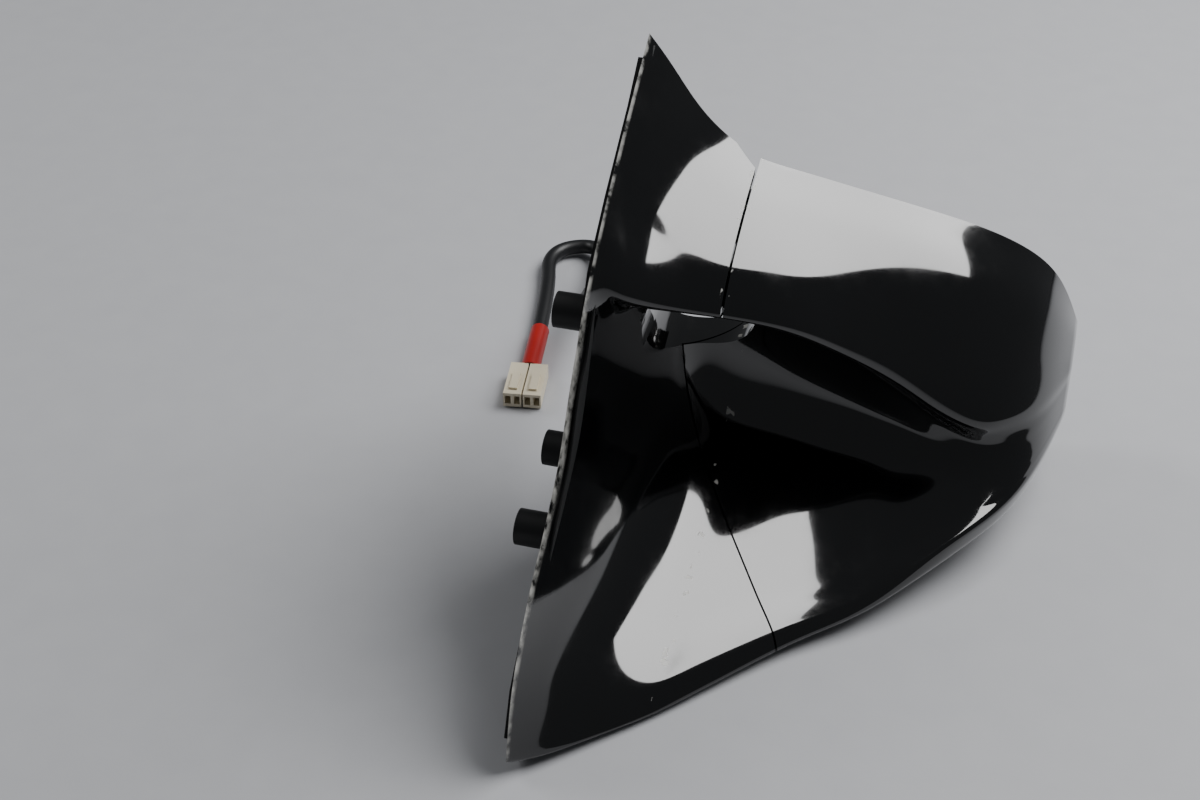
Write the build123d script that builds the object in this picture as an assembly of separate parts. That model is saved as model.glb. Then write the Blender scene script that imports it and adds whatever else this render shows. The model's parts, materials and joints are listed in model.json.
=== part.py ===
from build123d import *
import math
import os

# A left-hand door mirror with a fold-back head on two arms.  Millimetres.
# Frame: origin on the mounting face, +X outboard (away from the door), +Y rearward, +Z up.
# Base: a sail-shaped foot with two arms.  Head: carries the glass and swings on one vertical
# pivot line at the rear of the seam.  Air passes through the hole between the two arms.

# ---------------------------------------------------------------- driving dimensions
# shape of the body
SEAM_X = 48.0              # reach of the upper arm, mounting face to seam
HEAD_SPAN = 145.0          # seam to the outboard end
WALL = 2.6                 # moulded shell wall
FOOT_SLANT = 3.5           # most a slanted skin thickens within a station's plane, foot
HEAD_SLANT = 1.4           # and head
SEAM_GAP = 0.5             # half of the parting gap between base and head
RIM_SWEEP = 20.0           # degrees the glass opening is swept back towards its outer end
RIM_Y = 110.0              # where the plane of the glass opening crosses the seam
RIM_INBOARD = 5.0          # the rim starts this far outboard of the seam
RIM_LIP = 5.0              # width of the rim round the glass opening

PIVOT_Y = RIM_Y - 7.0      # fold pivot line, at the seam and just inside the rear wall
FOLD_DEG = 55.0            # how far the head folds back
SADDLE_X, SADDLE_Y = 25.0, 76.0     # where the lower seam turns at the saddle
TOE_X, TOE_Y = 88.0, -20.0          # where the lower seam meets the front lip

# hinge
PIN_R = 3.0
BUSH_T = 1.0
EYE_R = 6.0
EYE_H = 6.0                # height of a bracket eye
FORK_H = 4.0               # height of a frame eye
UPPER_EYE_Z = 60.0
LOWER_EYE_Z = -54.0
BAR_W = 7.0
FIT = 0.05                 # radial running clearance
CLEAR = 0.4                # clearance between neighbouring pieces
CLIP_T = 1.0               # retaining clip on each pin
GROOVE_R = 2.3

# mounting plate and its fixings
PLATE_FACE = 0.5           # the plate lies this far behind the foot's rim
PLATE_T = 3.0              # back of the plate
BOSS_R = 7.6
BOSS_LENGTH = 20.0
BOSS_HOLE_R = 4.0          # seat of the brass insert, up to a shoulder
INSERT_BORE_R = 2.6
INSERT_L = 12.0
BOLT_WAY_R = 3.0           # way through for the end of the bolt
BOSS_PLACES = ((36.0, 43.0), (17.0, -15.0), (-23.0, -25.0))
PLATE_SCREWS = ((82.0, 96.0), (-50.0, -50.0), (20.0, -43.0), (45.0, 5.0))
GASKET_T = 3.0
GASKET_W = 6.0
GASKET_INSET = 3.0         # from the edge of the plate
GROMMET_PLACE = (48.0, 30.0)
GROMMET_R = 8.0

# glass and its drive
GLASS_RECESS = 6.0         # glass face below the rim plane
GLASS_GAP = 8.0            # glass edge to opening edge
GLASS_T = 2.2
PAD_T = 0.8
HOLDER_T = 2.4
TILT_U, TILT_V = 72.0, -14.0        # ball centre along the rim plane and up it
BALL_R = 6.0
BALL_POST_R = 3.2
JACK_ARM = 21.0            # drive screw to ball centre
JACK_R = 2.2
JACK_BALL_R = 3.2
SOCKET_PLAY = 0.5         # lets the jack balls follow the holder's arc
CROSS_T = 2.2              # spider round the ball
CROSS_H = 3.0
CASE_T = 11.0
CASE_R = 33.0
LID_T = 1.6
FRAME_T = 2.5
SCREW_R = 1.6
SCREW_HEAD_R = 3.0
SCREW_L = 9.0

FOOT_HALF = 11.0           # half length of a bracket foot
FOOT_SCREW = 7.5
UPPER_PATH = ((PLATE_T, 66.0), (SEAM_X, PIVOT_Y))
LOWER_PATH = ((PLATE_T, 36.0), (SADDLE_X, 83.0), (SEAM_X, PIVOT_Y))
BRACKET_SCREWS = tuple((path[0][1] + side * FOOT_SCREW, z) for path, z in ((UPPER_PATH, UPPER_EYE_Z),
                                                                           (LOWER_PATH, LOWER_EYE_Z))
                       for side in (-1, 1))
JACK_PLACES = ((0.0, JACK_ARM), (-JACK_ARM, 0.0))
JACK_L = 16.0
WHEEL_R = 8.0
WHEEL_T = 4.0
WHEEL_TEETH = 18
MOTOR_R = 3.6
MOTOR_L = 18.0
MOTOR_PLACES = ((18.0, 12.0, 90.0), (6.0, -22.0, 0.0))
FRAME_SCREWS = ((44.0, 37.0), (44.0, -68.5), (119.0, -14.0), (112.0, -44.0))
CASE_SCREWS = ((TILT_U + 31, TILT_V), (TILT_U - 16, TILT_V - 26), (TILT_U - 20, TILT_V + 24))
FRAME_OUTLINE = ((34, 50), (58, 40), (100, 14), (124, -4), (126, -26), (120, -50), (104, -56), (60, -71),
                 (34, -71), (44, -30), (44, 26))
FRAME_ARM = ((60.0, 88.0), (95.0, 94.0))
ARM_LEVELS = ((45.5, 50.5), (-58.0, -50.0))

# harness, laid behind the mirror
CABLE_R = 4.0
CABLE_ROUTE = ((6.0, 48.0, 30.0), (-26.0, 48.0, 30.0), (-44.0, 164.0, -46.0), (-56.0, 262.0, -69.0),
               (-90.0, 250.0, -70.0), (-76.0, 206.0, -70.0), (-66.0, 138.0, -70.0))
TAPE_T = 0.9
PLUG_SIZE = (9.0, 26.0, 8.0)

# Outlines at stations across the mirror.  Each starts at the top of the rear edge and runs
# forward over the top, round the brow, back along the underside of the upper arm, down the
# back of the scoop, forward along its floor, round the lip and back under the belly.
# Arm stations are (share of the upper arm's reach, outline), head stations (share of the span, outline).
ARM_STATIONS = (
    (0.00, ((107, 135), (80, 120), (45, 98), (18, 78), (5, 66), (-5, 54), (-16, 40), (-30, 20),
            (-50, 3), (-74, -14), (-98, -42), (-107, -68), (-60, -75), (50, -70))),
    (0.19, ((107, 124), (80, 109), (46, 88), (16, 67), (26, 54), (36, 46), (38, 34), (30, 16),
            (4, 0), (-40, -22), (-86, -49), (-102, -69), (-55, -75), (62, -71))),
    (0.42, ((108, 106), (82, 94), (50, 77), (24, 59), (48, 47), (70, 41), (76, 26), (66, 2),
            (34, -16), (-26, -38), (-76, -57), (-92, -70), (-48, -75), (84, -73))),
    (0.71, ((109, 92), (81, 83), (49, 69), (32, 53), (58, 45), (80, 39), (86, 14), (76, -16),
            (42, -32), (-20, -49), (-66, -62), (-79, -71), (-40, -75), (100, -74))),
)
HEAD_STATIONS = (
    (0.000, ((110, 83), (82, 76), (50, 62), (38, 49), (62, 43), (84, 37), (88, 6), (78, -27),
             (36, -43), (-24, -57), (-58, -65), (-66, -72), (0, -75), (110, -75))),
    (0.152, ((118, 74), (92, 67), (63, 55), (48, 41), (68, 33), (86, 24), (90, -6), (79, -34),
             (40, -47), (-6, -58), (-34, -64), (-42, -71), (20, -75), (118, -75))),
    (0.324, ((127, 64), (102, 56), (76, 41), (62, 24), (76, 16), (88, 6), (90, -18), (78, -38),
             (48, -49), (11, -59), (-10, -63), (-16, -69), (45, -75), (127, -75))),
    (0.497, ((136, 54), (112, 47), (86, 28), (72, 6), (80, -2), (88, -10), (88, -26), (76, -40),
             (56, -48), (28, -56), (10, -60), (5, -66), (65, -74), (136, -74))),
    (0.641, ((144, 45), (120, 38), (92, 15), (76, -9), (80, -16), (84, -21), (82, -30), (75, -38),
             (60, -44), (44, -50), (30, -54), (27, -60), (80, -71), (144, -70))),
    (0.759, ((150, 36), (128, 28), (98, 4), (80, -16), (81, -22), (81, -26), (78, -31), (73, -36),
             (66, -41), (57, -45), (48, -50), (48, -56), (95, -67), (150, -64))),
    (0.862, ((155, 25), (134, 17), (110, -2), (93, -17), (91, -22), (88, -26), (85, -30), (81, -34),
             (76, -38), (71, -42), (67, -46), (68, -52), (108, -61), (155, -57))),
    (0.945, ((160, 10), (144, 3), (126, -9), (112, -19), (109, -23), (106, -26), (103, -29), (100, -32),
             (97, -35), (94, -38), (92, -42), (94, -47), (124, -54), (160, -49))),
    (1.000, ((163, -10), (155, -12), (146, -17), (139, -21), (137, -24), (135, -26), (133, -28), (131, -30),
             (129, -32), (127, -34), (126, -37), (128, -41), (144, -44), (163, -40))),
)
# Through hole between the arms, in x (share of the upper arm's reach) and z.
HOLE_OUTLINE = ((1.06, 44), (0.80, 46), (0.45, 44), (0.24, 34), (0.28, 20), (0.50, 6), (0.85, 2),
                (1.06, 6), (1.15, 16), (1.15, 34))
SPLIT_Z = 25.0             # between the two arms, inside the through hole

COS_S, SIN_S = math.cos(math.radians(RIM_SWEEP)), math.sin(math.radians(RIM_SWEEP))
# Working plane of the glass: local x outboard along the rim, local y up, local z into the head.
RIM = Plane(origin=(SEAM_X, RIM_Y, 0), x_dir=(COS_S, SIN_S, 0), z_dir=(SIN_S, -COS_S, 0))
PIVOT = (SEAM_X, PIVOT_Y)
GLASS_BACK = GLASS_RECESS + GLASS_T + PAD_T + HOLDER_T
BALL_DEPTH = GLASS_BACK + 5.0
CASE_TOP = GLASS_BACK + 9.0
FRAME_DEPTH = CASE_TOP + CASE_T


def save(node, shape):
    """Write one named node."""
    export_step(shape, f"parts/{node}.step")


def join(pieces):
    """One compound of separate copies that share a node."""
    return Compound(children=list(pieces))


def rod(radius, length, at, axis=(0, 0, 1)):
    """A cylinder that starts at a point and runs along an axis."""
    return extrude(Plane(origin=at, z_dir=axis) * Circle(radius), amount=length)


def on_rim(shape, u=0.0, v=0.0, depth=0.0):
    """Place a shape drawn on the glass plane, moved along it, up it and into the head."""
    return (RIM.location * Location((u, v, depth))) * shape


def rim_point(u, v, depth):
    """A point given along the glass plane, up it and into the head."""
    return tuple(RIM.from_local_coords((u, v, depth)))


def lefts(points):
    """Unit direction into a closed outline at each point, with the mitre factor of its corner."""
    found = []
    for i, (a, b) in enumerate(points):
        before, after = points[i - 1], points[(i + 1) % len(points)]
        one, two = math.dist(before, (a, b)), math.dist((a, b), after)
        first = ((a - before[0]) / one, (b - before[1]) / one)
        second = ((after[0] - a) / two, (after[1] - b) / two)
        normal = (-(first[1] + second[1]), first[0] + second[0])
        size = math.hypot(*normal)
        half = max(0.5, (1 + first[0] * second[0] + first[1] * second[1]) / 2) ** 0.5
        found.append((normal[0] / size, normal[1] / size, half))
    return found


def inset(points, walls):
    """Move a closed outline to its left, mitred, by one wall or by a wall for each point."""
    if not isinstance(walls, list):
        walls = [walls] * len(points)
    return [(a + na * wall / half, b + nb * wall / half)
            for (a, b), (na, nb, half), wall in zip(points, lefts(points), walls)]


def stations():
    """Every outline with its x; head outlines end on the swept plane of the glass opening."""
    places = [(share * SEAM_X, points) for share, points in ARM_STATIONS]
    for share, points in HEAD_STATIONS:
        x = SEAM_X + share * HEAD_SPAN
        rear = RIM_Y + (x - SEAM_X) * SIN_S / COS_S
        places.append((x, ((rear, points[0][1]),) + points[1:-1] + ((rear, points[-1][1]),)))
    return places


def even_spacing(outlines):
    """Shared curve parameters for matching points, from the mean distance between them."""
    steps = [sum(math.dist(o[i], o[i + 1]) for o in outlines) for i in range(len(outlines[0]) - 1)]
    marks = [0.0]
    for step in steps:
        marks.append(marks[-1] + step / sum(steps))
    return marks


def between(marks, values, spots):
    """Values of a curve that passes through the given values without swinging past any of them."""
    gaps = [b - a for a, b in zip(marks, marks[1:])]
    rises = [(b - a) / gap for a, b, gap in zip(values, values[1:], gaps)]
    slopes = [rises[0]]
    for left, right in zip(rises, rises[1:]):
        slopes.append(2 * left * right / (left + right) if left * right > 0 else 0.0)
    slopes.append(rises[-1])
    found = []
    for spot in spots:
        i = max(k for k in range(len(gaps)) if marks[k] <= spot + 1e-9)
        t = (spot - marks[i]) / gaps[i]
        bend_in, bend_out = slopes[i] * gaps[i], slopes[i + 1] * gaps[i]
        found.append(values[i] * (1 + 2 * t) * (1 - t) ** 2 + bend_in * t * (1 - t) ** 2
                     + values[i + 1] * t * t * (3 - 2 * t) - bend_out * t * t * (1 - t))
    return found


def finer(marks, parts):
    """Each gap between marks cut into equal parts."""
    fine = [a + (b - a) * k / parts for a, b in zip(marks, marks[1:]) for k in range(parts)]
    return fine + [marks[-1]]


def slanted_walls(places, i, wall):
    """The wall measured within a station's plane, larger where the skin slants across it."""
    before, after = max(i - 1, 0), min(i + 1, len(places) - 1)
    span = places[after][0] - places[before][0]
    walls = []
    for start, end, (na, nb, _) in zip(places[before][1], places[after][1], lefts(places[i][1])):
        drift = ((end[0] - start[0]) * na + (end[1] - start[1]) * nb) / span
        walls.append(wall * min(math.hypot(1, drift), FOOT_SLANT if places[i][0] < SEAM_X else HEAD_SLANT))
    return walls


def body_loft(wall):
    """The whole mirror body as one smooth loft through the outlines, moved inwards by the wall."""
    places = stations()
    outlines = [points for _, points in places]
    xs = [x for x, _ in places]
    if wall:
        outlines = [inset(points, slanted_walls(places, i, wall)) for i, points in enumerate(outlines)]
        xs[0] = -1.0
    marks = even_spacing(outlines)
    spots, cuts = finer(marks, 3), finer(xs, 2)
    rows = [[between(marks, [p[axis] for p in outline], spots) for axis in (0, 1)] for outline in outlines]
    grid = [[between(xs, [row[axis][k] for row in rows], cuts) for k in range(len(spots))] for axis in (0, 1)]
    wires = []
    for i, x in enumerate(cuts[:-2] if wall else cuts):
        points = [Vector(x, grid[0][k][i], grid[1][k][i]) for k in range(len(spots))]
        curve = Edge.make_spline(points, parameters=spots)
        wires.append(Wire([curve, Edge.make_line(points[-1], points[0])]))
    return Solid.make_loft(wires)


def hole_prism(grow):
    """The through hole, rear to front, grown by a wall."""
    points = [(share * SEAM_X, z) for share, z in HOLE_OUTLINE]
    points = inset(points, -grow) if grow else points
    ring = Edge.make_spline([Vector(a, 0, b) for a, b in points], periodic=True)
    return extrude(Face(Wire([ring])), amount=80, dir=(0, 1, 0)).moved(Location((0, 55, 0)))


def plan_prism(points, low, high):
    """A straight-sided block from a plan outline."""
    face = make_face(Polyline(*[(a, b, 0) for a, b in points], close=True))
    return extrude(face, amount=high - low, dir=(0, 0, 1)).moved(Location((0, 0, low)))


def seam_side(side):
    """Everything on one side of the seam: -1 for the base, +1 for the head."""
    far = side * 400.0
    g = side * SEAM_GAP
    upper = plan_prism(((SEAM_X + g, -300), (far, -300), (far, 300), (SEAM_X + g, 300)), SPLIT_Z, 200)
    run = (TOE_X - SADDLE_X) / (TOE_Y - SADDLE_Y)
    front_x = SADDLE_X + run * (-150 - SADDLE_Y)
    line = ((SEAM_X + g, 300), (SEAM_X + g, PIVOT_Y), (SADDLE_X + g, SADDLE_Y), (front_x + g, -150))
    lower = plan_prism(line + ((far, -150), (far, 300)), -200, SPLIT_Z)
    return upper + lower


def fold_notch():
    """The rear corner of the base that the head's corner swings through."""
    turn = math.radians(90 + FOLD_DEG + 3)
    reach = 30.0
    return plan_prism((PIVOT, (PIVOT[0] + 5, PIVOT[1] + reach),
                       (PIVOT[0] + reach * math.cos(turn), PIVOT[1] + reach * math.sin(turn))), -90, 160)


def barrel_room():
    """Room in both shells round the hinge barrels."""
    tall = EYE_H / 2 + FORK_H + 2.0
    return rod(EYE_R + CLEAR, 2 * tall, (*PIVOT, UPPER_EYE_Z - tall)) + rod(
        EYE_R + CLEAR, 2 * tall, (*PIVOT, LOWER_EYE_Z - tall))


def rim_outline(wall):
    """The edge of the glass opening on the glass plane, moved inwards, as (along, up) points."""
    tops, lows = [], []
    for share, points in HEAD_STATIONS[:-1]:
        along = max(share * HEAD_SPAN, RIM_INBOARD) / COS_S
        tops.append((along, points[0][1]))
        lows.append((along, points[-1][1]))
    return inset(tops[::-1] + lows, wall)


def rim_face(wall):
    """A face of the glass outline: straight inboard edge, smooth elsewhere."""
    points = rim_outline(wall)
    half = len(points) // 2
    ordered = points[half:] + points[:half]
    curve = Edge.make_spline([Vector(a, b, 0) for a, b in ordered])
    return Face(Wire([curve, Edge.make_line(curve @ 1, curve @ 0)]))


def bar(points, low, high):
    """A flat bar with round corners that follows plan points."""
    shape = None
    for (ax, ay), (bx, by) in zip(points, points[1:]):
        length = math.hypot(bx - ax, by - ay)
        turn = math.degrees(math.atan2(by - ay, bx - ax))
        piece = Location(((ax + bx) / 2, (ay + by) / 2, (low + high) / 2), (0, 0, turn)) * Box(
            length, BAR_W, high - low)
        piece = piece + rod(BAR_W / 2, high - low, (ax, ay, low)) + rod(BAR_W / 2, high - low, (bx, by, low))
        shape = piece if shape is None else shape + piece
    return shape


# ---------------------------------------------------------------- base


def base_shell(solid, room):
    """Moulded foot and two arms, open at the mounting face and at both seams, with screw posts."""
    skin = (solid & seam_side(-1)) - fold_notch() - barrel_room()
    for y, z in PLATE_SCREWS:
        room = room - rod(SCREW_HEAD_R + 0.8, SEAM_X - PLATE_T, (PLATE_T, y, z), (1, 0, 0))
    shell = skin - room
    for y, z in PLATE_SCREWS:
        shell = shell - rod(SCREW_R, SCREW_L + 1, (PLATE_T - 1, y, z), (1, 0, 0))
    return shell


def base_plate():
    """Inner mounting plate with three bosses that pass through the door skin, and the harness hole."""
    slab = plan_prism(((PLATE_FACE, -200), (PLATE_T, -200), (PLATE_T, 200), (PLATE_FACE, 200)), -100, 160)
    plate = slab & body_loft(WALL + CLEAR)
    for y, z in BOSS_PLACES:
        plate = plate + rod(BOSS_R, BOSS_LENGTH + PLATE_T, (PLATE_T, y, z), (-1, 0, 0))
        plate = plate - rod(BOSS_HOLE_R, INSERT_L, (-BOSS_LENGTH, y, z), (1, 0, 0))
        plate = plate - rod(BOLT_WAY_R, BOSS_LENGTH + PLATE_T, (-BOSS_LENGTH, y, z), (1, 0, 0))
    for y, z in PLATE_SCREWS:
        plate = plate - rod(SCREW_R + 0.2, PLATE_T + 2, (-1, y, z), (1, 0, 0))
    for y, z in BRACKET_SCREWS:
        plate = plate - rod(SCREW_R + 0.2, PLATE_T + 2, (-1, y, z), (1, 0, 0))
    y, z = GROMMET_PLACE
    return plate - rod(GROMMET_R, PLATE_T + 2, (-1, y, z), (1, 0, 0))


def boss_inserts():
    """Three brass threaded inserts moulded into the boss ends."""
    return join(rod(BOSS_HOLE_R, INSERT_L, (-BOSS_LENGTH, y, z), (1, 0, 0))
                - rod(INSERT_BORE_R, INSERT_L, (-BOSS_LENGTH, y, z), (1, 0, 0)) for y, z in BOSS_PLACES)


def base_gasket():
    """Foam strip round the edge of the mounting face."""
    walls = slanted_walls(stations(), 0, WALL + CLEAR)
    bands = []
    for step in (GASKET_INSET, GASKET_INSET + GASKET_W):
        points = inset(ARM_STATIONS[0][1], [wall + step for wall in walls])
        outline = make_face(Polyline(*[(PLATE_FACE, a, b) for a, b in points], close=True))
        bands.append(extrude(outline, amount=GASKET_T + PLATE_FACE, dir=(-1, 0, 0)))
    ring = bands[0] - bands[1]
    for y, z in PLATE_SCREWS + BRACKET_SCREWS:
        ring = ring - rod(SCREW_HEAD_R + CLEAR, 20, (-10, y, z), (1, 0, 0))
    for y, z in BOSS_PLACES:
        ring = ring - rod(BOSS_R + CLEAR, 20, (-10, y, z), (1, 0, 0))
    return ring


def screw(at, axis, length):
    """Pan-head screw: the head sits on the point, the shank runs along the axis."""
    back = tuple(-c for c in axis)
    return rod(SCREW_R, length, at, axis) + rod(SCREW_HEAD_R, 1.8, at, back)


def hinge_bracket(path, eye_z):
    """Cast arm from the mounting plate to a hinge eye on the fold line, with a screwed foot."""
    low, high = eye_z - EYE_H / 2, eye_z + EYE_H / 2
    arm = bar(path, low, high) + rod(EYE_R, EYE_H, (*PIVOT, low))
    y = path[0][1]
    foot = plan_prism(((PLATE_T, y - FOOT_HALF), (PLATE_T + 3, y - FOOT_HALF), (PLATE_T + 3, y + FOOT_HALF),
                       (PLATE_T, y + FOOT_HALF)), low - 1, high + 1)
    keep = plan_prism(((PLATE_T, -200), (90, -200), (90, 200), (PLATE_T, 200)), low - 2, high + 2)
    shape = (arm + foot) & keep
    for side in (-1, 1):
        shape = shape - rod(SCREW_R, 12, (PLATE_T - 1, y + side * FOOT_SCREW, eye_z), (1, 0, 0))
    return shape - rod(PIN_R, EYE_H + 2, (*PIVOT, low - 1))


def fold_pins():
    """Two steel pins pressed into the bracket eyes, headed above, grooved below for a clip."""
    half = EYE_H / 2 + FORK_H + CLEAR
    pins = []
    for z in (UPPER_EYE_Z, LOWER_EYE_Z):
        pin = rod(PIN_R, 2 * half + CLEAR + CLIP_T + 1.6, (*PIVOT, z - half - CLEAR - CLIP_T - 1.6))
        pin = pin + rod(PIN_R + 1.6, 1.6, (*PIVOT, z + half + CLEAR))
        low = (*PIVOT, z - half - CLEAR - CLIP_T)
        pins.append(pin - (rod(PIN_R + 1, CLIP_T, low) - rod(GROOVE_R, CLIP_T, low)))
    return join(pins)


def pin_clips():
    """Retaining rings snapped into the pin grooves."""
    half = EYE_H / 2 + FORK_H + CLEAR
    lows = [(*PIVOT, z - half - CLEAR - CLIP_T) for z in (UPPER_EYE_Z, LOWER_EYE_Z)]
    return join(rod(PIN_R + 1.8, CLIP_T, low) - rod(GROOVE_R, CLIP_T, low) for low in lows)


def fork_levels():
    """Low faces of the four frame eyes, a clearance above and below each bracket eye."""
    return [z + side for z in (UPPER_EYE_Z, LOWER_EYE_Z)
            for side in (EYE_H / 2 + CLEAR, -EYE_H / 2 - CLEAR - FORK_H)]


def hinge_bushes():
    """Four plain bearing bushes pressed into the frame eyes; they run on the pins."""
    return join(rod(PIN_R + BUSH_T, FORK_H, (*PIVOT, z)) - rod(PIN_R + FIT, FORK_H, (*PIVOT, z))
                for z in fork_levels())


def harness_grommet():
    """Rubber grommet in the mounting plate that the harness leaves through."""
    y, z = GROMMET_PLACE
    body = rod(GROMMET_R, PLATE_T + 2, (-1, y, z), (1, 0, 0)) + rod(GROMMET_R + 2, 2, (PLATE_FACE - 2, y, z), (1, 0, 0))
    body = body + rod(GROMMET_R + 1.5, 1.5, (PLATE_T, y, z), (1, 0, 0))
    return body - rod(CABLE_R + FIT, 20, (-8, y, z), (1, 0, 0))


# ---------------------------------------------------------------- head


def head_shell(solid, room):
    """Moulded head: scooped front, open at the seam, with the rim round the glass opening."""
    skin = (solid & seam_side(1)) - barrel_room()
    for u, v in FRAME_SCREWS:
        room = room - on_rim(extrude(Circle(SCREW_HEAD_R + 1.4), amount=80), u, v, FRAME_DEPTH + FRAME_T)
    shell = skin - room
    opening = extrude(on_rim(rim_face(RIM_LIP), depth=-25), amount=50, dir=(SIN_S, -COS_S, 0))
    shell = shell - (opening & rear_half())
    for u, v in FRAME_SCREWS:
        shell = shell - on_rim(extrude(Circle(SCREW_R), amount=SCREW_L + 1), u, v, FRAME_DEPTH)
    return shell


def rear_half():
    """A thick slab at the glass opening, so the opening cut stays out of the scoop."""
    return on_rim(Box(400, 400, 2 * (WALL + 1.2)))


def head_frame():
    """Flat frame behind the actuator with two pairs of arms that end in eyes on the fold line."""
    outline = make_face(Polyline(*[(u, v, 0) for u, v in FRAME_OUTLINE], close=True))
    frame = on_rim(extrude(outline, amount=FRAME_T), depth=FRAME_DEPTH)
    for low, high in ARM_LEVELS:
        frame = frame + bar(FRAME_ARM, low, high)
    frame = frame & body_loft(WALL + 2 * CLEAR)
    for low in fork_levels():
        frame = frame + bar((PIVOT, FRAME_ARM[0]), low, low + FORK_H) + rod(EYE_R, FORK_H, (*PIVOT, low))
    for z, (low, _) in zip((UPPER_EYE_Z, LOWER_EYE_Z), ARM_LEVELS):
        top, bottom = z + EYE_H / 2 + CLEAR + FORK_H, min(low, z - EYE_H / 2 - CLEAR - FORK_H)
        frame = frame + rod(BAR_W / 2, top - bottom, (*FRAME_ARM[0], bottom))
    for low in fork_levels():
        frame = frame - rod(PIN_R + BUSH_T, FORK_H + 0.2, (*PIVOT, low - 0.1))
    for u, v in FRAME_SCREWS + CASE_SCREWS:
        frame = frame - on_rim(Cylinder(SCREW_R + 0.2, 3 * FRAME_T), u, v, FRAME_DEPTH + FRAME_T / 2)
    for du, dv in JACK_PLACES:
        frame = frame - on_rim(Cylinder(JACK_R + CLEAR, 3 * FRAME_T), TILT_U + du, TILT_V + dv, FRAME_DEPTH)
    return frame


def actuator_case():
    """Round cup that holds two drive motors and two drive wheels, open towards the lid."""
    cup = Cylinder(CASE_R, CASE_T - LID_T) - Pos(0, 0, -1.0) * Cylinder(CASE_R - 2, CASE_T - LID_T - 2)
    cup = on_rim(cup, TILT_U, TILT_V, CASE_TOP + LID_T + (CASE_T - LID_T) / 2)
    for du, dv in JACK_PLACES:
        cup = cup - on_rim(Cylinder(JACK_R + CLEAR, 30), TILT_U + du, TILT_V + dv, FRAME_DEPTH)
    for u, v in CASE_SCREWS:
        post = Cylinder(SCREW_HEAD_R + 0.6, CASE_T - LID_T)
        cup = cup + on_rim(post, u, v, CASE_TOP + LID_T + (CASE_T - LID_T) / 2)
        cup = cup - on_rim(Cylinder(SCREW_R, 14), u, v, FRAME_DEPTH)
    return cup


def actuator_lid():
    """Lid of the actuator with the ball post at its centre and a sleeve hole for each jack screw."""
    lid = Cylinder(CASE_R, LID_T)
    for du, dv in JACK_PLACES:
        lid = lid - Pos(du, dv, 0) * Cylinder(JACK_R + CLEAR, 3 * LID_T)
    post = CASE_TOP - BALL_DEPTH
    lid = lid + Pos(0, 0, -(LID_T + post) / 2) * Cylinder(BALL_POST_R, post)
    lid = lid + Pos(0, 0, -LID_T / 2 - post) * Sphere(BALL_R)
    return on_rim(lid, TILT_U, TILT_V, CASE_TOP + LID_T / 2)


def drive_motors():
    """Two small can motors lying in the case, one for each drive wheel."""
    motors = []
    for du, dv, turn in MOTOR_PLACES:
        can = Rot(0, 0, turn) * (Rot(0, 90, 0) * Cylinder(MOTOR_R, MOTOR_L) + Pos(MOTOR_L / 2 + 1.5, 0, 0) * (
            Rot(0, 90, 0) * Cylinder(1.6, 3)))
        motors.append(on_rim(can, TILT_U + du, TILT_V + dv, FRAME_DEPTH - 2 - MOTOR_R))
    return join(motors)


def case_screws():
    """Screws through the frame into the actuator case."""
    axis = (-SIN_S, COS_S, 0)
    return join(screw(rim_point(u, v, FRAME_DEPTH + FRAME_T), axis, FRAME_T + 5) for u, v in CASE_SCREWS)


def frame_screws():
    """Screws through the frame into the posts of the head shell."""
    axis = (SIN_S, -COS_S, 0)
    return join(screw(rim_point(u, v, FRAME_DEPTH), axis, SCREW_L) for u, v in FRAME_SCREWS)


# ---------------------------------------------------------------- glass and its drive


def tilt_cross():
    """Spider that slides on the ball inside the holder's cup."""
    ring = (Sphere(BALL_R + CROSS_T) & Cylinder(2 * BALL_R, CROSS_H)) - Sphere(BALL_R + FIT)
    return on_rim(ring, TILT_U, TILT_V, BALL_DEPTH)


def glass_holder():
    """Backing plate of the glass with a cup round the spider and a socket for each jack ball."""
    plate = extrude(rim_face(RIM_LIP + GLASS_GAP + 0.8), amount=HOLDER_T)
    plate = on_rim(plate, depth=GLASS_BACK - HOLDER_T)
    tall = BALL_DEPTH - GLASS_BACK + CROSS_H / 2 + 0.3
    bore = BALL_R + CROSS_T + FIT
    cup = extrude(Circle(bore + 2.5) - Circle(bore), amount=tall)
    plate = plate + on_rim(cup, TILT_U, TILT_V, GLASS_BACK)
    for du, dv in JACK_PLACES:
        socket = extrude(Circle(JACK_BALL_R + 2.2) - Circle(JACK_BALL_R + SOCKET_PLAY), amount=JACK_BALL_R + 1.0)
        plate = plate + on_rim(socket, TILT_U + du, TILT_V + dv, GLASS_BACK)
    return plate - on_rim(Sphere(BALL_R + CLEAR), TILT_U, TILT_V, BALL_DEPTH)


def glass_layer(depth, thick, wall):
    """One flat layer of the glass pack."""
    return on_rim(extrude(rim_face(wall), amount=thick), depth=depth)


def jack_screw(du, dv):
    """Drive screw with a ball end that pushes the glass holder."""
    shape = Pos(0, 0, JACK_L / 2) * Cylinder(JACK_R, JACK_L) + Sphere(JACK_BALL_R)
    return on_rim(shape, TILT_U + du, TILT_V + dv, GLASS_BACK + JACK_BALL_R + FIT)


def drive_wheel(du, dv):
    """Worm wheel with a threaded bore on the jack screw."""
    wheel = Cylinder(WHEEL_R, WHEEL_T)
    for k in range(WHEEL_TEETH):
        wheel = wheel + Rot(0, 0, k * 360 / WHEEL_TEETH) * Pos(WHEEL_R, 0, 0) * Box(1.4, 1.2, WHEEL_T)
    wheel = wheel - Cylinder(JACK_R + FIT, 10)
    return on_rim(wheel, TILT_U + du, TILT_V + dv, FRAME_DEPTH - 2 - WHEEL_T / 2 - 0.3)


# ---------------------------------------------------------------- harness


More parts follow.
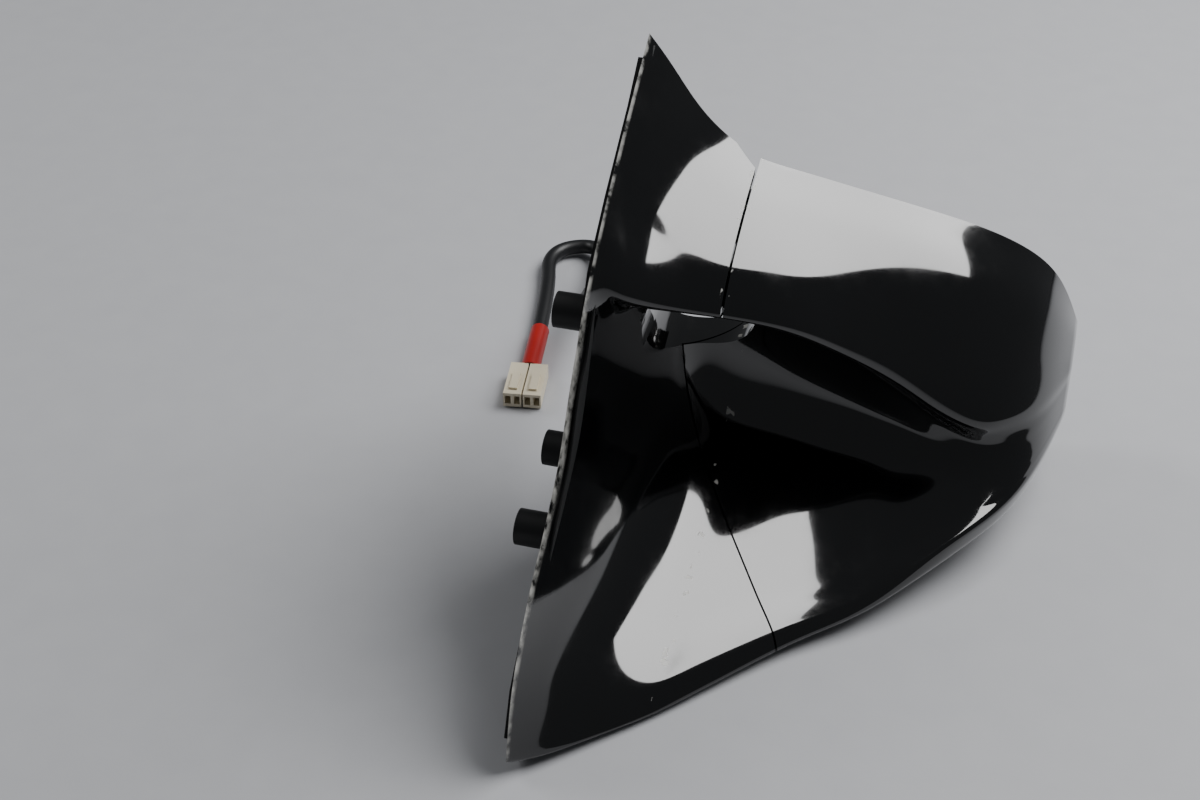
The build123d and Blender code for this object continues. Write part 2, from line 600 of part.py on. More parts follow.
def cable_bend():
    """One bend radius for the whole route: as large as the tightest corner allows."""
    corners = [Vector(*p) for p in CABLE_ROUTE]
    radii = []
    for before, corner, after in zip(corners, corners[1:], corners[2:]):
        one, two = corner - before, after - corner
        half_turn = math.radians(one.get_angle(two)) / 2
        radii.append(0.45 * min(one.length, two.length) / math.tan(half_turn))
    return min(radii)


def harness_cord():
    """Round cable that leaves the grommet, lies on the ground and ends at the two plugs."""
    radius = cable_bend()
    path = FilletPolyline(*[Vector(*p) for p in CABLE_ROUTE], radius=radius)
    return sweep(Plane(origin=path @ 0, z_dir=path % 0) * Circle(CABLE_R), path=path)


def cable_end():
    """Plane at the cable's end: local z along the cable, local x level."""
    last, end = Vector(*CABLE_ROUTE[-2]), Vector(*CABLE_ROUTE[-1])
    along = (end - last).normalized()
    return Plane(origin=end, z_dir=along, x_dir=along.cross(Vector(0, 0, -1)))


def harness_tape():
    """Tape wrap over the last straight run of the cable."""
    last, end = Vector(*CABLE_ROUTE[-2]), Vector(*CABLE_ROUTE[-1])
    length = 0.5 * (end - last).length
    ring = Circle(CABLE_R + TAPE_T) - Circle(CABLE_R)
    return extrude(cable_end() * ring, amount=-length)


def plug(side):
    """One moulded connector at the cable's end, with a latch rib and open contact cells."""
    wide, long, tall = PLUG_SIZE
    body = Pos(0, 0, long / 2) * Box(wide, tall, long)
    body = body + Pos(0, tall / 2 + 0.6, long * 0.62) * Box(wide * 0.45, 1.2, long * 0.5)
    for cell in (-1, 1):
        body = body - Pos(cell * wide / 4, 0, long) * Box(wide * 0.32, tall * 0.6, 12)
    return cable_end().location * (Pos(side * (wide / 2 + CLEAR), 0, 0) * body)


if __name__ == "__main__":
    os.makedirs("parts", exist_ok=True)
    solid, room = body_loft(0) - hole_prism(0), body_loft(WALL) - hole_prism(WALL)
    save("base_shell", base_shell(solid, room))
    save("base_plate", base_plate())
    save("boss_inserts", boss_inserts())
    save("base_gasket", base_gasket())
    save("plate_screws", join(screw((PLATE_FACE, y, z), (1, 0, 0), SCREW_L) for y, z in PLATE_SCREWS))
    save("bracket_screws", join(screw((PLATE_FACE, y, z), (1, 0, 0), PLATE_T + 2) for y, z in BRACKET_SCREWS))
    save("hinge_bracket_upper", hinge_bracket(UPPER_PATH, UPPER_EYE_Z))
    save("hinge_bracket_lower", hinge_bracket(LOWER_PATH, LOWER_EYE_Z))
    save("fold_pins", fold_pins())
    save("pin_clips", pin_clips())
    save("harness_grommet", harness_grommet())
    save("harness_cord", harness_cord())
    save("harness_tape", harness_tape())
    save("plug_left", plug(-1))
    save("plug_right", plug(1))
    save("head_shell", head_shell(solid, room))
    save("head_frame", head_frame())
    save("hinge_bushes", hinge_bushes())
    save("frame_screws", frame_screws())
    save("actuator_case", actuator_case())
    save("actuator_lid", actuator_lid())
    save("drive_motors", drive_motors())
    save("case_screws", case_screws())
    save("tilt_cross", tilt_cross())
    save("glass_holder", glass_holder())
    save("glass_pad", glass_layer(GLASS_RECESS + GLASS_T, PAD_T, RIM_LIP + GLASS_GAP + 0.4))
    save("mirror_glass", glass_layer(GLASS_RECESS, GLASS_T, RIM_LIP + GLASS_GAP))
    for name, (du, dv) in zip(("vertical", "lateral"), JACK_PLACES):
        save(f"jack_screw_{name}", jack_screw(du, dv))
        save(f"drive_wheel_{name}", drive_wheel(du, dv))
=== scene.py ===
import json

import bmesh
import bpy
import numpy as np
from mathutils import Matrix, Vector


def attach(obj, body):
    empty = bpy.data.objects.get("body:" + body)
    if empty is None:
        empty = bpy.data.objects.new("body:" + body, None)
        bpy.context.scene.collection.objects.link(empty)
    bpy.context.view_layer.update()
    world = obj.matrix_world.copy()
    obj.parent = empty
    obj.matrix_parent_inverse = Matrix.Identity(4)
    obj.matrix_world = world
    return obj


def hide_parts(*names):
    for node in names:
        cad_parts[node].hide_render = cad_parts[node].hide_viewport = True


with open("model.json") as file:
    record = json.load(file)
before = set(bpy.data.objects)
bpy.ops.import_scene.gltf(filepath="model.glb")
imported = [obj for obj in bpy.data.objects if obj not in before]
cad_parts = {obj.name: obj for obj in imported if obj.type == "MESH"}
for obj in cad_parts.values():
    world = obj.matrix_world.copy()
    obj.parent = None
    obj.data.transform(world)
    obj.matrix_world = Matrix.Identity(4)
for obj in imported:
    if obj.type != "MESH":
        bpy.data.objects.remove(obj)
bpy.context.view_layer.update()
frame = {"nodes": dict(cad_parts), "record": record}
MM = 0.001

# ------------------------------------------------------------------ camera, floor and lights
# Pale matt laminate table top, a camera on the front side, one big soft box high on the outboard
# rear side and a small one over the door side.  The room stays dim, so black lacquer stays black.


def place(mm):
    """A point in mm as a vector in metres."""
    return Vector(mm) * MM


def aimed(thing, at, look):
    """Links an object, stands it at a point in mm and turns it to look at another."""
    bpy.context.scene.collection.objects.link(thing)
    thing.location = place(at)
    thing.rotation_euler = (place(look) - place(at)).to_track_quat("-Z", "Y").to_euler()
    return thing


lens = bpy.data.cameras.new("camera")
lens.lens, lens.sensor_width, lens.clip_start = 48.0, 36.0, 0.01
bpy.context.scene.camera = aimed(bpy.data.objects.new("camera", lens),
                                 (138.7, -481.8, 414.0), (-26.8, 129.2, -75.0))

for name, at, look, wide, tall, watts in (
        ("soft_box_main", (790, 660, 1225), (40, 30, 0), 1.15, 1.05, 34),
        ("soft_box_left", (-1300, 350, 900), (20, 60, 0), 0.60, 0.80, 7)):
    panel = bpy.data.lights.new(name, "AREA")
    panel.shape, panel.size, panel.size_y, panel.energy = "RECTANGLE", wide, tall, watts
    aimed(bpy.data.objects.new(name, panel), at, look)


def linear(code):
    """sRGB hex to linear RGBA: (c + 0.055) / 1.055 to the power 2.4, or c / 12.92 when dark."""
    channels = [int(code[i:i + 2], 16) / 255 for i in (0, 2, 4)]
    return tuple(c / 12.92 if c <= 0.04045 else ((c + 0.055) / 1.055) ** 2.4 for c in channels) + (1.0,)


room_light = bpy.data.worlds.new("dim_room")
room_light.use_nodes = True
room_light.node_tree.nodes["Background"].inputs["Color"].default_value = linear("c9ccd0")
room_light.node_tree.nodes["Background"].inputs["Strength"].default_value = 0.16
bpy.context.scene.world = room_light


def add(tree, kind, settings=None, values=None, links=None):
    """Adds one node: settings are its own options, values fill sockets, links feed sockets."""
    node = tree.nodes.new(kind)
    for key, value in (settings or {}).items():
        setattr(node, key, value)
    for key, value in (values or {}).items():
        node.inputs[key].default_value = value
    for key, source in (links or {}).items():
        tree.links.new(source, node.inputs[key])
    return node


CLOUD_MM = 18        # width of a soft patch where a finish turns from its pale colour to its deep one


def finish(name, pale, deep, rough, grain_mm, bump_mm, metal=0.0, spread=0.06, **shader):
    """Material of two close colours mixed by a soft noise, with a fine grain in the bump and the
    roughness: grain_mm is the width of a grain, bump_mm its height, and spread how far the
    roughness strays each way."""
    material = bpy.data.materials.new(name)
    material.use_nodes = True
    tree = material.node_tree
    principled = tree.nodes["Principled BSDF"]
    where = add(tree, "ShaderNodeTexCoord").outputs["Object"]
    cloud = add(tree, "ShaderNodeTexNoise", values={"Scale": 1 / (CLOUD_MM * MM), "Detail": 4.0},
                links={"Vector": where})
    grain = add(tree, "ShaderNodeTexNoise", values={"Scale": 1 / (grain_mm * MM), "Detail": 3.0},
                links={"Vector": where})
    tint = add(tree, "ShaderNodeMix", {"data_type": "RGBA"}, {6: linear(pale), 7: linear(deep)},
               {0: cloud.outputs["Fac"]})
    dull = add(tree, "ShaderNodeMapRange", None,
               {"To Min": max(rough - spread, 0.01), "To Max": rough + spread}, {"Value": grain.outputs["Fac"]})
    relief = add(tree, "ShaderNodeBump", None, {"Distance": bump_mm * MM, "Strength": 1.0},
                 {"Height": grain.outputs["Fac"]})
    tree.links.new(tint.outputs[2], principled.inputs["Base Color"])
    tree.links.new(dull.outputs[0], principled.inputs["Roughness"])
    tree.links.new(relief.outputs[0], principled.inputs["Normal"])
    principled.inputs["Metallic"].default_value = metal
    for key, value in shader.items():
        principled.inputs[key.replace("_", " ")].default_value = value
    return material


TABLE_REACH, TABLE_Z = 2.6, -0.075        # metres: half its side, and the mirror's flat underside
table = bpy.data.meshes.new("table_top")
table.from_pydata([(x * TABLE_REACH, y * TABLE_REACH, TABLE_Z) for x, y in ((-1, -1), (1, -1), (1, 1), (-1, 1))],
                  [], [(0, 1, 2, 3)])
table_top = bpy.data.objects.new("table_top", table)
bpy.context.scene.collection.objects.link(table_top)
# Matt laminate: an even pale grey with a faint mottle and no glare.
table.materials.append(finish("matt_laminate", "b9babd", "b2b3b7", 0.62, 1.2, 0.02))

# ------------------------------------------------------------------ harness cable
# Round PVC-jacketed cable 8 mm thick.  It leaves the rubber grommet in the mounting plate, lies
# on the table behind the mirror, and ends under red tape in two cream nylon plugs.

CABLE_ROUTE = ((6.0, 48.0, 30.0), (-26.0, 48.0, 30.0), (-44.0, 164.0, -46.0), (-56.0, 262.0, -69.0),
               (-90.0, 250.0, -70.0), (-76.0, 206.0, -70.0), (-66.0, 138.0, -70.0))
line = bpy.data.curves.new("harness_cable", "CURVE")
line.dimensions, line.bevel_depth, line.bevel_resolution, line.use_fill_caps = "3D", 0.004, 8, True
strand = line.splines.new("NURBS")
strand.points.add(len(CABLE_ROUTE) - 1)
for point, spot in zip(strand.points, CABLE_ROUTE):
    point.co = (*place(spot), 1.0)
strand.order_u, strand.use_endpoint_u, strand.resolution_u = 3, True, 24
cable = bpy.data.objects.new("harness_cable", line)
bpy.context.scene.collection.objects.link(cable)
# Extruded PVC: near black and satin, without a sharp reflection.
line.materials.append(finish("extruded_pvc_jacket", "17181a", "101113", 0.42, 0.6, 0.03))
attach(cable, "base")
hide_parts("harness_cord")

# ------------------------------------------------------------------ finishes of the small parts
# Every moulded, cast, turned or pressed part keeps its own shape and takes the finish it is
# made with.  Grain sizes are those of the process, or as coarse as they need to be to show.

SMALL_PART_FINISH = {
    # Glass-filled nylon comes dull from the mould, and slightly uneven in tone.
    "black_moulding": finish("glass_filled_nylon_moulding", "1b1c1d", "131415", 0.55, 0.9, 0.04),
    # Turned brass is warm and fairly bright.  An even grain stands in for its tool marks.
    "boss_brass": finish("turned_brass", "b08d4f", "9c7a40", 0.30, 0.5, 0.01, metal=1.0),
    # Closed-cell foam is flat black, and its open skin is rough with cells.
    "black_foam": finish("closed_cell_foam", "1d1d1e", "111112", 0.90, 0.8, 0.25),
    # Bright zinc plate is a cool grey with a soft shine.
    "zinc_screw": finish("zinc_plated_steel", "b9bcc0", "9b9ea3", 0.32, 0.7, 0.01, metal=1.0),
    # A die casting left as cast is a dull grey metal, a little mottled.
    "cast_alloy": finish("die_cast_zinc_alloy", "8d9094", "777a7f", 0.48, 1.4, 0.05, metal=1.0),
    # Ground steel is bright.  An even grain stands in for its grinding marks.
    "hard_steel": finish("ground_steel", "a4a6a9", "8c8e92", 0.22, 0.4, 0.005, metal=1.0),
    # A phosphate coat turns spring steel a dark, oily grey.
    "spring_steel": finish("phosphated_spring_steel", "3a3b3e", "2c2d30", 0.42, 0.5, 0.01, metal=1.0),
    # Natural acetal is off-white and slightly waxy.
    "bearing_plastic": finish("acetal_moulding", "d8d6ce", "cbc8bf", 0.40, 0.8, 0.01),
    # Moulded EPDM rubber is matt, and a little dusty in its grain.
    "black_rubber": finish("moulded_epdm_rubber", "191919", "121212", 0.72, 0.7, 0.04),
    # PVC tape is a strong red with a low shine and a faint grain.
    "red_tape": finish("pvc_insulating_tape", "b3201c", "9a1714", 0.36, 1.6, 0.05),
    # Natural nylon yellows to cream and stays satin.
    "cream_nylon": finish("moulded_nylon_connector", "e6dcc4", "d9ceb4", 0.42, 0.7, 0.02),
    # Grey ABS has the fine spark-eroded texture of a hidden part.
    "grey_moulding": finish("grey_abs_moulding", "75787b", "686b6e", 0.52, 0.9, 0.03),
    # A drawn and nickel-plated can is bright and slightly warm.
    "motor_can": finish("drawn_nickel_plated_can", "c3c1bb", "a9a7a1", 0.24, 0.6, 0.01, metal=1.0),
    # The foam glue pad is pale, soft and without shine.
    "glue_pad": finish("foam_glue_pad", "e3e0d6", "d4d0c5", 0.75, 0.7, 0.08),
    # Silvered glass reflects almost everything, with no grain.
    "mirror_face": finish("silvered_glass", "e9eef0", "e4eaed", 0.012, 2.0, 0.0, metal=1.0, spread=0.004),
}
for part in frame["record"]["subparts"]:
    made = SMALL_PART_FINISH.get(part["material_slot"])
    if made is not None:
        mesh = frame["nodes"][part["node"]].data
        mesh.materials.clear()
        mesh.materials.append(made)

# ------------------------------------------------------------------ painted shells
# The foot with its two arms, and the scooped head: injection-moulded ABS about 2.6 mm thick,
# sprayed gloss black and lacquered.  The foot screws to the mounting plate from behind, and
# the head hangs on the hinge frame.

SEAM_X = 48.0                             # plane where the upper arm parts from the head
WALL, SEAM_GAP = 2.6, 0.5                 # moulded wall, and half the gap at the seam
RIM_Y, RIM_SWEEP = 110.0, np.radians(20)  # rear rim: its depth at the seam, and its sweep outboard
RIM_LIP, RIM_INBOARD = 5.0, 5.0           # rim left round the glass, and beside the seam
PIVOT_X, PIVOT_Y, FOLD = 48.0, 103.0, np.radians(55)
SPLIT_Z = 25.0                            # height where the straight seam gives way to the slanting one
SADDLE, TOE = (25.0, 76.0), (88.0, -20.0)  # two points of the slanting seam, in plan
ACROSS, AROUND, REAR = 130, 300, 24       # grid steps along x, round the outline and over its rear
STATION_ROUNDS, OUTLINE_ROUNDS = 26, 7    # softening along x, and round each outline

# Outlines (y, z) at stations along x: from the top of the rear edge forward over the top,
# round the brow, into the scoop, along its floor, round the lip and back under the belly.
STATIONS = (
    (0.0, ((107, 135), (80, 120), (45, 98), (18, 78), (5, 66), (-5, 54), (-16, 40), (-30, 20),
           (-50, 3), (-74, -14), (-98, -42), (-107, -68), (-60, -75), (50, -70))),
    (9.1, ((107, 124), (80, 109), (46, 88), (16, 67), (26, 54), (36, 46), (38, 34), (30, 16),
           (4, 0), (-40, -22), (-86, -49), (-102, -69), (-55, -75), (62, -71))),
    (20.2, ((108, 106), (82, 94), (50, 77), (24, 59), (48, 47), (70, 41), (76, 26), (66, 2),
            (34, -16), (-26, -38), (-76, -57), (-92, -70), (-48, -75), (84, -73))),
    (34.1, ((109, 92), (81, 83), (49, 69), (32, 53), (58, 45), (80, 39), (86, 14), (76, -16),
            (42, -32), (-20, -49), (-66, -62), (-79, -71), (-40, -75), (100, -74))),
    (48.0, ((110, 83), (82, 76), (50, 62), (38, 49), (62, 43), (84, 37), (88, 6), (78, -27),
            (36, -43), (-24, -57), (-58, -65), (-66, -72), (0, -75), (110, -75))),
    (70.0, ((118, 74), (92, 67), (63, 55), (48, 41), (68, 33), (86, 24), (90, -6), (79, -34),
            (40, -47), (-6, -58), (-34, -64), (-42, -71), (20, -75), (118, -75))),
    (95.0, ((127, 64), (102, 56), (76, 41), (62, 24), (76, 16), (88, 6), (90, -18), (78, -38),
            (48, -49), (11, -59), (-10, -63), (-16, -69), (45, -75), (127, -75))),
    (120.0, ((136, 54), (112, 47), (86, 28), (72, 6), (80, -2), (88, -10), (88, -26), (76, -40),
             (56, -48), (28, -56), (10, -60), (5, -66), (65, -74), (136, -74))),
    (141.0, ((144, 45), (120, 38), (92, 15), (76, -9), (80, -16), (84, -21), (82, -30), (75, -38),
             (60, -44), (44, -50), (30, -54), (27, -60), (80, -71), (144, -70))),
    (158.0, ((150, 36), (128, 28), (98, 4), (80, -16), (81, -22), (81, -26), (78, -31), (73, -36),
             (66, -41), (57, -45), (48, -50), (48, -56), (95, -67), (150, -64))),
    (173.0, ((155, 25), (134, 17), (110, -2), (93, -17), (91, -22), (88, -26), (85, -30), (81, -34),
             (76, -38), (71, -42), (67, -46), (68, -52), (108, -61), (155, -57))),
    (185.0, ((160, 10), (144, 3), (126, -9), (112, -19), (109, -23), (106, -26), (103, -29), (100, -32),
             (97, -35), (94, -38), (92, -42), (94, -47), (124, -54), (160, -49))),
    (193.0, ((163, -10), (155, -12), (146, -17), (139, -21), (137, -24), (135, -26), (133, -28), (131, -30),
             (129, -32), (127, -34), (126, -37), (128, -41), (144, -44), (163, -40))),
)
HOLE = ((51, 44), (38, 46), (22, 44), (12, 34), (13, 20), (24, 6), (41, 2), (51, 6), (55, 16), (55, 34))


def glide(marks, values, spots):
    """Monotone cubic through rows of values: each slope is the harmonic mean of its two chords,
    or zero where they turn back, so the curve never swings past a value."""
    marks, values, spots = np.asarray(marks, float), np.asarray(values, float), np.asarray(spots, float)
    shape = (-1,) + (1,) * (values.ndim - 1)
    gaps = np.diff(marks).reshape(shape)
    rises = np.diff(values, axis=0) / gaps
    product, total = rises[:-1] * rises[1:], rises[:-1] + rises[1:]
    inner = np.where(product > 0, 2 * product / np.where(total == 0, 1, total), 0)
    slopes = np.concatenate([rises[:1], inner, rises[-1:]])
    i = np.clip(np.searchsorted(marks, spots, side="right") - 1, 0, len(marks) - 2)
    gap = gaps[i]
    t = (spots.reshape(shape) - marks[i].reshape(shape)) / gap
    return (values[i] * (1 + 2 * t) * (1 - t) ** 2 + slopes[i] * gap * t * (1 - t) ** 2
            + values[i + 1] * t * t * (3 - 2 * t) - slopes[i + 1] * gap * t * t * (1 - t))


def soften(grid, axis, rounds, ring=False):
    """Repeated average of each row with half its two neighbours, the end rows kept."""
    grid = np.moveaxis(np.array(grid), axis, 0)
    for _ in range(rounds):
        if ring:
            grid = 0.5 * grid + 0.25 * (np.roll(grid, 1, 0) + np.roll(grid, -1, 0))
        else:
            grid[1:-1] = 0.5 * grid[1:-1] + 0.25 * (grid[:-2] + grid[2:])
    return np.moveaxis(grid, 0, axis)


def skin_grid():
    """Body surface as a grid of points in mm: outlines softened between stations along x."""
    xs = np.array([x for x, _ in STATIONS])
    net = np.array([points for _, points in STATIONS], float)
    marks = np.concatenate([[0], np.cumsum(np.linalg.norm(np.diff(net, axis=1), axis=2).mean(axis=0))])
    around = glide(marks, net.transpose(1, 0, 2), np.linspace(0, marks[-1], AROUND))
    cuts = np.linspace(xs[0], xs[-1], ACROSS)
    grid = glide(xs, around.transpose(1, 0, 2), cuts)
    grid = soften(soften(grid, 0, STATION_ROUNDS), 1, OUTLINE_ROUNDS)
    head = cuts > SEAM_X
    grid[head, 0, 0] = grid[head, -1, 0] = RIM_Y + (cuts[head] - SEAM_X) * np.tan(RIM_SWEEP)
    return np.concatenate([np.broadcast_to(cuts[:, None, None], grid.shape[:2] + (1,)), grid], axis=2)


def closed_ring(grid):
    """Adds the straight rear wall from the last point of each outline back to its first."""
    share = np.linspace(0, 1, REAR + 1)[1:-1, None]
    rear = grid[:, -1:, :] * (1 - share) + grid[:, :1, :] * share
    return np.concatenate([grid, rear], axis=1)


def ring_solid(name, rings):
    """Closed mesh of rings of points in mm: quads between neighbours and a flat cap at each end."""
    rows, around = rings.shape[:2]
    index = np.arange(rows * around).reshape(rows, around)
    beside = np.roll(index, -1, axis=1)
    quads = np.stack([index[:-1], beside[:-1], beside[1:], index[1:]], axis=-1).reshape(-1, 4)
    faces = quads.tolist() + [index[0, ::-1].tolist(), index[-1].tolist()]
    mesh = bpy.data.meshes.new(name)
    mesh.from_pydata((rings.reshape(-1, 3) * MM).tolist(), [], faces)
    piece = bpy.data.objects.new(name, mesh)
    bpy.context.scene.collection.objects.link(piece)
    return outward(piece)


def outward(piece):
    """Turns every face of a closed piece to point out."""
    bm = bmesh.new()
    bm.from_mesh(piece.data)
    bmesh.ops.recalc_face_normals(bm, faces=bm.faces)
    bm.to_mesh(piece.data)
    bm.free()
    return piece


def prism(name, points, low, high, axis):
    """Straight block: a plan outline in mm carried along one axis from low to high."""
    points = np.asarray(points, float)
    rings = np.empty((2, len(points), 3))
    others = [a for a in (0, 1, 2) if a != axis]
    rings[:, :, others] = points
    rings[0, :, axis], rings[1, :, axis] = low, high
    return ring_solid(name, rings)


def carve(piece, cutter, keep=False):
    """Boolean difference, applied; the cutter goes unless it is kept for another piece."""
    step = piece.modifiers.new("carve", "BOOLEAN")
    step.operation, step.solver, step.object = "DIFFERENCE", "MANIFOLD", cutter
    solid = bpy.data.meshes.new_from_object(piece.evaluated_get(bpy.context.evaluated_depsgraph_get()))
    piece.modifiers.clear()
    piece.data = solid
    if not keep:
        bpy.data.objects.remove(cutter)
    return piece


def copy_of(piece, name):
    """A second object with its own copy of the mesh."""
    twin = piece.copy()
    twin.data, twin.name = piece.data.copy(), name
    bpy.context.scene.collection.objects.link(twin)
    return twin


def circle(x, y, radius, steps=64):
    """Points of a circle."""
    turn = np.linspace(0, 2 * np.pi, steps, endpoint=False)
    return np.stack([x + radius * np.cos(turn), y + radius * np.sin(turn)], axis=1)


def grown(points, step):
    """A closed outline moved out by a step, or in where it is negative, along the mean of its two
    edge normals; the sign of its area says which way is out."""
    area = 0.5 * np.sum(points[:, 0] * np.roll(points[:, 1], -1) - points[:, 1] * np.roll(points[:, 0], -1))
    ahead, behind = np.roll(points, -1, 0) - points, points - np.roll(points, 1, 0)
    ahead, behind = (side / np.linalg.norm(side, axis=1)[:, None] for side in (ahead, behind))
    tangent = ahead + behind
    normal = np.stack([tangent[:, 1], -tangent[:, 0]], axis=1)
    return points + step * np.sign(area) * normal / np.linalg.norm(normal, axis=1)[:, None]


def evenly(points, count):
    """Points at even steps of length along a line of points, by the monotone cubic."""
    marks = np.concatenate([[0], np.cumsum(np.linalg.norm(np.diff(points, axis=0), axis=1))])
    return glide(marks, points, np.linspace(0, marks[-1], count))


# The room inside: the skin moved in by the wall, more where it slants, then softened.
STEEPEST = 0.45                           # the slant past which the wall is moved in no further
ROOM_ROUNDS = 10
ROOM_START, END_ROWS = -6.0, 5            # it opens past the mounting face, and stops short of the tip
REAR_WALL = WALL * 1.05

outer = skin_grid()
normal = np.cross(np.gradient(outer, axis=0), np.gradient(outer, axis=1))
normal /= np.linalg.norm(normal, axis=2)[:, :, None]
over_top = (ACROSS // 2, AROUND // 10)    # a place on the skin whose inward side is down
inward = -np.sign(normal[*over_top, 2]) * normal[:, :, 1:]
tilt = np.linalg.norm(inward, axis=2)[:, :, None]
inner = outer.copy()
inner[:, :, 1:] += WALL * inward / tilt / np.maximum(tilt, STEEPEST)
inner = soften(soften(inner, 0, ROOM_ROUNDS), 1, ROOM_ROUNDS)
inner[:, (0, -1), 1] -= REAR_WALL
inner[0, :, 0] = ROOM_START
inner = inner[:ACROSS - END_ROWS]
whole = ring_solid("whole", closed_ring(outer))
room = ring_solid("room", closed_ring(inner))

# The air gap between the arms, cut straight through from front to back, with its own wall.
HOLE_STEPS, HOLE_ROUNDS = 120, 30
HOLE_FRONT, HOLE_BACK = 50, 140
hole_line = evenly(np.array(HOLE + HOLE[:1], float), HOLE_STEPS + 1)[:-1]
hole_line = soften(hole_line, 0, HOLE_ROUNDS, ring=True)
carve(whole, prism("hole", hole_line, HOLE_FRONT, HOLE_BACK, 1))
carve(room, prism("hole_wall", grown(hole_line, WALL), HOLE_FRONT, HOLE_BACK, 1))

# The seam: straight across the upper arm and slanting across the lower one.  Round ways for the
# two hinge barrels and a notch behind the pivot let the head swing.
SEAM_FRONT, PAST, FAR = -150, 300, 400    # places in front of, beside and beyond the whole mirror
BARREL_R, BARREL_HALF, BARREL_Z = 6.4, 9, (60.0, -54.0)
NOTCH_REACH, NOTCH_PLAY = 30, np.radians(3)
slope = (TOE[0] - SADDLE[0]) / (TOE[1] - SADDLE[1])
seam_toe = SADDLE[0] + slope * (SEAM_FRONT - SADDLE[1])
head_skin = copy_of(whole, "head_skin")
base_skin = whole
base_skin.name = "base_skin"
for piece, gap, far in ((base_skin, -SEAM_GAP, FAR), (head_skin, SEAM_GAP, -FAR)):
    straight = ((SEAM_X + gap, -PAST), (far, -PAST), (far, PAST), (SEAM_X + gap, PAST))
    slanting = ((SEAM_X + gap, PAST), (PIVOT_X + gap, PIVOT_Y), (SADDLE[0] + gap, SADDLE[1]),
                (seam_toe + gap, SEAM_FRONT), (far, SEAM_FRONT), (far, PAST))
    carve(piece, prism("upper", straight, SPLIT_Z, PAST, 2))
    carve(piece, prism("lower", slanting, -PAST, SPLIT_Z, 2))
    for z in BARREL_Z:
        carve(piece, prism("barrel", circle(PIVOT_X, PIVOT_Y, BARREL_R), z - BARREL_HALF, z + BARREL_HALF, 2))
swing = np.pi / 2 + FOLD + NOTCH_PLAY
notch = ((PIVOT_X, PIVOT_Y), (PIVOT_X + 5, PIVOT_Y + NOTCH_REACH),
         (PIVOT_X + NOTCH_REACH * np.cos(swing), PIVOT_Y + NOTCH_REACH * np.sin(swing)))
carve(base_skin, prism("notch", notch, -100, 160, 2))
carve(base_skin, room, keep=True)
carve(head_skin, room)

# The opening for the glass: the rim's outline moved in by its lip, cut straight through the rear wall.
EDGE_STEPS, EDGE_ROUNDS = 160, 12
OPENING_BACK, OPENING_FRONT = -25.0, WALL + 1.2
rim_along = np.array([np.cos(RIM_SWEEP), np.sin(RIM_SWEEP), 0.0])
rim_inward = np.array([np.sin(RIM_SWEEP), -np.cos(RIM_SWEEP), 0.0])
head_stations = [(x, points) for x, points in STATIONS if x >= SEAM_X][:-1]
along = np.array([max(x - SEAM_X, RIM_INBOARD) for x, _ in head_stations]) / np.cos(RIM_SWEEP)
upper_edge = np.stack([along, [points[0][1] for _, points in head_stations]], axis=1)
lower_edge = np.stack([along, [points[-1][1] for _, points in head_stations]], axis=1)
edge = soften(evenly(np.concatenate([lower_edge, upper_edge[::-1]]), EDGE_STEPS), 0, EDGE_ROUNDS)
edge = grown(edge, -RIM_LIP)
rings = np.empty((2, len(edge), 3))
for row, depth in enumerate((OPENING_BACK, OPENING_FRONT)):
    rings[row] = (np.array([SEAM_X, RIM_Y, 0.0]) + edge[:, :1] * rim_along
                  + edge[:, 1:] * np.array([0.0, 0.0, 1.0]) + depth * rim_inward)
carve(head_skin, ring_solid("glass_opening", rings))

# Lacquered gloss black: almost no colour of its own, under a clear coat as sharp as glass.
paint = finish("lacquered_gloss_black_paint", "060708", "040405", 0.06, 1.1, 0.002, spread=0.03,
               Coat_Weight=1.0, Coat_Roughness=0.03)

# Wear and painted highlight: a broken pale line is painted along the mounting edge, partly lacquer rubbed
# through to pale primer and partly the highlight a rounded edge would catch, with small chips beside the seam,
# and dust dulls the rest in patches.
PALE_EDGE_TO, BLACK_EDGE_FROM = 0.4, 1.3          # mm in from the mounting face: pale up to one, black from the other
CHIP_BAND = 1.8                           # mm to each side of the seam where it chips
PATCH_MM, DUST_MM = 5, 28                 # width of a patch in the pale edge line and in the chips, and of a patch of dust
tree = paint.node_tree
principled = tree.nodes["Principled BSDF"]
where = add(tree, "ShaderNodeTexCoord").outputs["Object"]
axes = add(tree, "ShaderNodeSeparateXYZ", links={"Vector": where})
patches = add(tree, "ShaderNodeTexNoise", values={"Scale": 1 / (PATCH_MM * MM), "Detail": 5.0},
              links={"Vector": where})
# Painted highlight: this band along the mounting edge is painted pale, partly as rubbed-through lacquer and
# partly as the highlight a rounded edge would catch.
edge_line = add(tree, "ShaderNodeMapRange", None, {"From Min": BLACK_EDGE_FROM * MM, "From Max": PALE_EDGE_TO * MM},
                {"Value": axes.outputs["X"]})
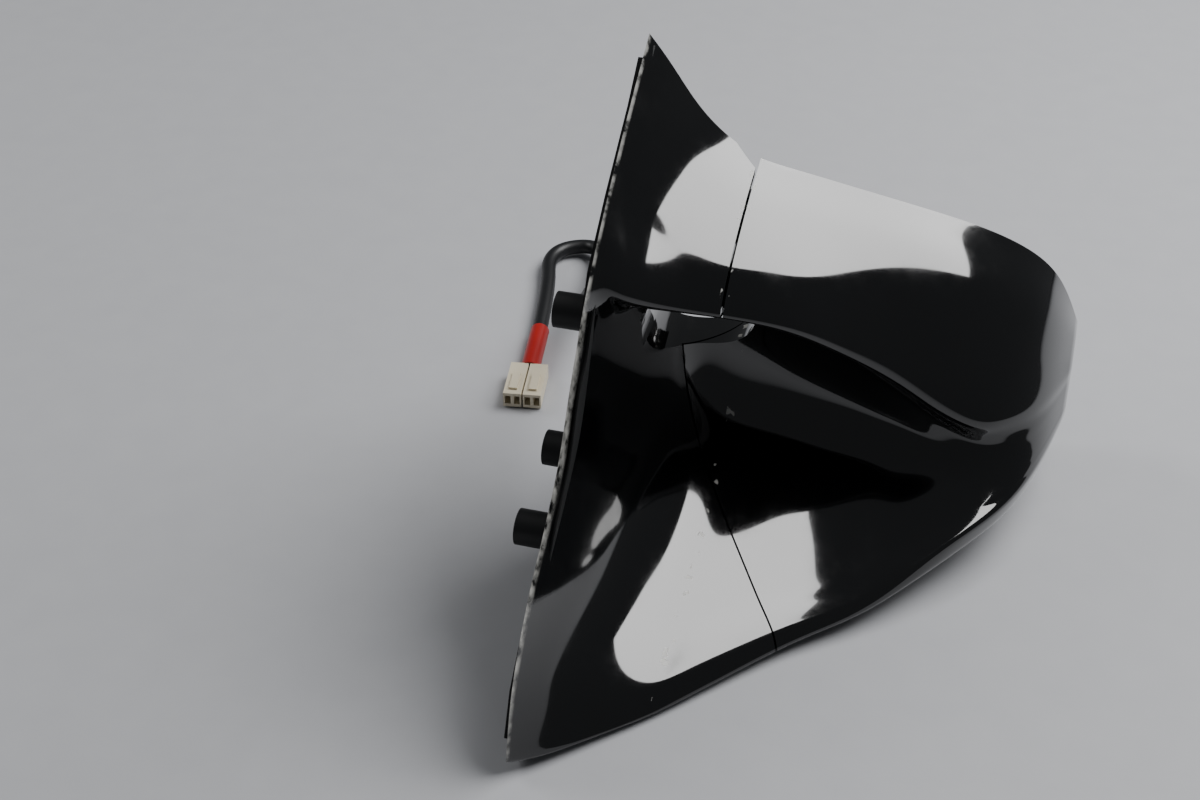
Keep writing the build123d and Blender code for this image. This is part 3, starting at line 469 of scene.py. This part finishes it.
broken_pale_line = add(tree, "ShaderNodeMapRange", None, {"From Min": 0.34, "From Max": 0.62},
             {"Value": patches.outputs["Fac"]})
worn_and_highlit_edge = add(tree, "ShaderNodeMath", {"operation": "MULTIPLY"}, None,
                {0: edge_line.outputs[0], 1: broken_pale_line.outputs[0]})
by_seam = add(tree, "ShaderNodeMath", {"operation": "COMPARE"}, {1: SEAM_X * MM, 2: CHIP_BAND * MM},
              {0: axes.outputs["X"]})
flaked = add(tree, "ShaderNodeMapRange", None, {"From Min": 0.60, "From Max": 0.63},
             {"Value": patches.outputs["Fac"]})
chips = add(tree, "ShaderNodeMath", {"operation": "MULTIPLY"}, None,
            {0: by_seam.outputs[0], 1: flaked.outputs[0]})
bare_and_highlit = add(tree, "ShaderNodeMath", {"operation": "MAXIMUM"}, None,
           {0: worn_and_highlit_edge.outputs[0], 1: chips.outputs[0]})
lacquer = principled.inputs["Base Color"].links[0].from_socket
# The pale primer colour here is partly wear and partly a painted highlight along the mounting edge; beside the
# seam it is chipped lacquer.
shown = add(tree, "ShaderNodeMix", {"data_type": "RGBA"}, {7: linear("a9a8a3")},
            {0: bare_and_highlit.outputs[0], 6: lacquer})
tree.links.new(shown.outputs[2], principled.inputs["Base Color"])
gloss = principled.inputs["Roughness"].links[0].from_socket
dust = add(tree, "ShaderNodeTexNoise", values={"Scale": 1 / (DUST_MM * MM), "Detail": 8.0, "Roughness": 0.72},
           links={"Vector": where})
dusty = add(tree, "ShaderNodeMapRange", None, {"From Min": 0.45, "From Max": 0.75, "To Max": 0.10},
            {"Value": dust.outputs["Fac"]})
dulled = add(tree, "ShaderNodeMath", {"operation": "ADD"}, None, {0: gloss, 1: dusty.outputs[0]})
matt = add(tree, "ShaderNodeMath", {"operation": "MAXIMUM"}, None, {0: dulled.outputs[0], 1: bare_and_highlit.outputs[0]})
tree.links.new(matt.outputs[0], principled.inputs["Roughness"])
for piece, node, body in ((base_skin, "base_shell", "base"), (head_skin, "head_shell", "head")):
    piece.data.materials.clear()
    piece.data.materials.append(paint)
    piece.data.shade_smooth()
    piece.data.set_sharp_from_angle(angle=np.radians(35))
    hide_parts(node)
    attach(piece, body)
